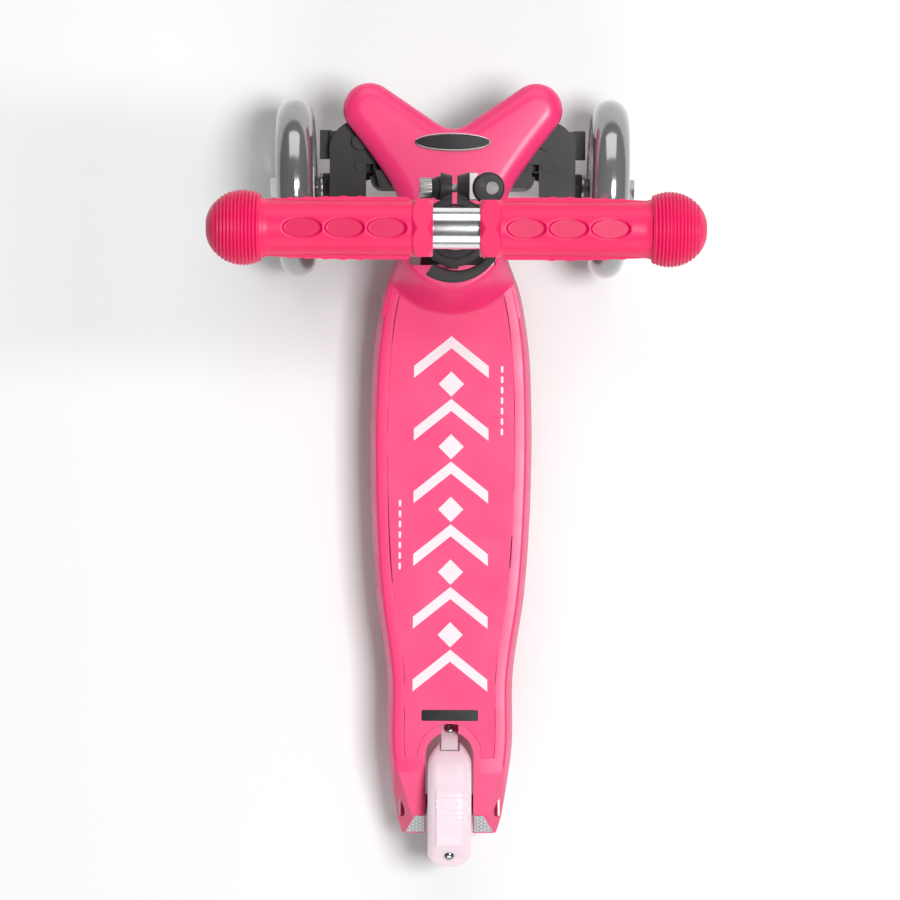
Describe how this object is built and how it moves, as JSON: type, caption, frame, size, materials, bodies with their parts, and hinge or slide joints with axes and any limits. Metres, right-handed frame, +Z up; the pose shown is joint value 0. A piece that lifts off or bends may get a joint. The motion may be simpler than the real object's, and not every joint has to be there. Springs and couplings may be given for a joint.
{
  "type": "kick scooter",
  "caption": "Small child's kick scooter that steers by leaning: two wheels in front, one behind, pink deck with a fender brake, and a T-bar of adjustable height.",
  "frame": {"origin": "on the ground, under the middle of the length and width", "axes": "+Z up, +Y forwards to the two wheels, +X to the rider's right"},
  "size_m": [0.2708, 0.5229, 0.5206],
  "materials": {
    "pink_plastic": "satin moulded",
    "pink_tread": "fine moulded grain",
    "pale_print": "smooth raised print",
    "black_plastic": "fine grain glass-filled",
    "black_print": "glossy label film",
    "reflector_film": "honeycomb retro-reflective film",
    "zinc_steel": "zinc plated",
    "polished_steel": "polished",
    "sintered_bronze": "plain bearing metal",
    "bar_aluminium": "bright anodised",
    "pink_painted_tube": "powder coated",
    "pink_rubber": "soft moulded, satin",
    "clear_urethane": "clear glossy urethane",
    "hub_plastic": "pale grey moulded",
    "fender_plastic": "translucent, pink-tinted",
    "brake_rubber": "friction pad"
  },
  "bodies": {
    "chassis": {"deck_shell": "pink_plastic", "deck_pad": "pink_tread", "deck_graphics": "pale_print", "brake_label": "black_print", "badge_plate": "black_print", "badge_rim": "pale_print", "tail_reflectors": "reflector_film", "front_carrier": "black_plastic", "carrier_screws": "zinc_steel", "kingpins": "zinc_steel", "head_bushes": "sintered_bronze", "rear_axle": "zinc_steel", "rear_axle_bolts": "zinc_steel", "rear_washers": "zinc_steel", "brake_tab": "fender_plastic", "brake_screw": "zinc_steel"},
    "column": {"steering_head": "black_plastic", "head_shutter": "pink_plastic", "column_outer": "pink_painted_tube", "guide_bush": "pink_plastic", "clamp_collar": "black_plastic", "clamp_bolt": "zinc_steel", "clamp_nut": "polished_steel", "dome_washer": "black_plastic", "saddle_washer": "black_plastic", "lever_pin": "polished_steel", "button_spring": "zinc_steel"},
    "release_button": {"lock_button": "black_plastic"},
    "quick_lever": {"clamp_lever": "black_plastic"},
    "handlebar": {"column_inner": "bar_aluminium", "crossbar": "bar_aluminium", "right_grip": "pink_rubber", "left_grip": "pink_rubber", "bar_plugs": "black_plastic"},
    "steering_link": {"tie_bar": "black_plastic"},
    "right_knuckle": {"right_knuckle": "black_plastic", "right_tie_pin": "zinc_steel", "right_axle_bolt": "zinc_steel", "right_axle_nut": "zinc_steel", "right_axle_washers": "zinc_steel"},
    "right_wheel": {"right_tyre": "clear_urethane", "right_hub": "hub_plastic", "right_bearings": "polished_steel", "right_spacer": "zinc_steel"},
    "left_knuckle": {"left_knuckle": "black_plastic", "left_tie_pin": "zinc_steel", "left_axle_bolt": "zinc_steel", "left_axle_nut": "zinc_steel", "left_axle_washers": "zinc_steel"},
    "left_wheel": {"left_tyre": "clear_urethane", "left_hub": "hub_plastic", "left_bearings": "polished_steel", "left_spacer": "zinc_steel"},
    "rear_wheel": {"rear_tyre": "clear_urethane", "rear_hub": "hub_plastic", "rear_bearings": "polished_steel", "rear_spacer": "zinc_steel"},
    "brake": {"brake_fender": "fender_plastic", "brake_pad": "brake_rubber", "brake_rivet": "polished_steel"}
  },
  "joints": [
    {"name": "head_lean", "type": "hinge", "parent": "chassis", "child": "column", "pos_m": [0, 0.16, 0.074], "axis": [0, 1, 0], "range_deg": [-20, 20], "stiffness_Nm_per_rad": 12},
    {"name": "tie_bar_slide", "type": "slide", "parent": "chassis", "child": "steering_link", "axis": [1, 0, 0], "range_m": [-0.0042, 0.0042]},
    {"name": "right_knuckle_steer", "type": "hinge", "parent": "chassis", "child": "right_knuckle", "pos_m": [0.062, 0.222, 0.06], "axis": [0, 0, 1], "range_deg": [-15.2, 15.2]},
    {"name": "left_knuckle_steer", "type": "hinge", "parent": "chassis", "child": "left_knuckle", "pos_m": [-0.062, 0.222, 0.06], "axis": [0, 0, 1], "range_deg": [-15.2, 15.2]},
    {"name": "right_wheel_spin", "type": "hinge", "parent": "right_knuckle", "child": "right_wheel", "pos_m": [0.104, 0.1932, 0.06], "axis": [0.9997, -0.0262, 0], "continuous": true},
    {"name": "left_wheel_spin", "type": "hinge", "parent": "left_knuckle", "child": "left_wheel", "pos_m": [-0.104, 0.1932, 0.06], "axis": [0.9997, 0.0262, 0], "continuous": true},
    {"name": "rear_wheel_spin", "type": "hinge", "parent": "chassis", "child": "rear_wheel", "pos_m": [0, -0.222, 0.04], "axis": [1, 0, 0], "continuous": true},
    {"name": "height_slide", "type": "slide", "parent": "column", "child": "handlebar", "axis": [0, -0.0523, 0.9986], "range_m": [0, 0.19]},
    {"name": "clamp_lever_swing", "type": "hinge", "parent": "column", "child": "quick_lever", "pos_m": [0.022, 0.17255, 0.33141], "axis": [0, -0.0523, 0.9986], "range_deg": [0, 150]},
    {"name": "release_button_press", "type": "slide", "parent": "column", "child": "release_button", "axis": [0, 0.9986, 0.0523], "range_m": [0, 0.0035], "stiffness_N_per_m": 600, "deforming": ["button_spring"]},
    {"name": "brake_press", "type": "hinge", "parent": "chassis", "child": "brake", "pos_m": [0, -0.183, 0.0662], "axis": [1, 0, 0], "range_deg": [0, 2.5], "stiffness_Nm_per_rad": 20}
  ],
  "couplings": [
    {"joint": "tie_bar_slide", "follows": "head_lean", "m_per_rad": -0.011493},
    {"joint": "right_knuckle_steer", "follows": "head_lean", "ratio": -0.75},
    {"joint": "left_knuckle_steer", "follows": "head_lean", "ratio": -0.75}
  ]
}
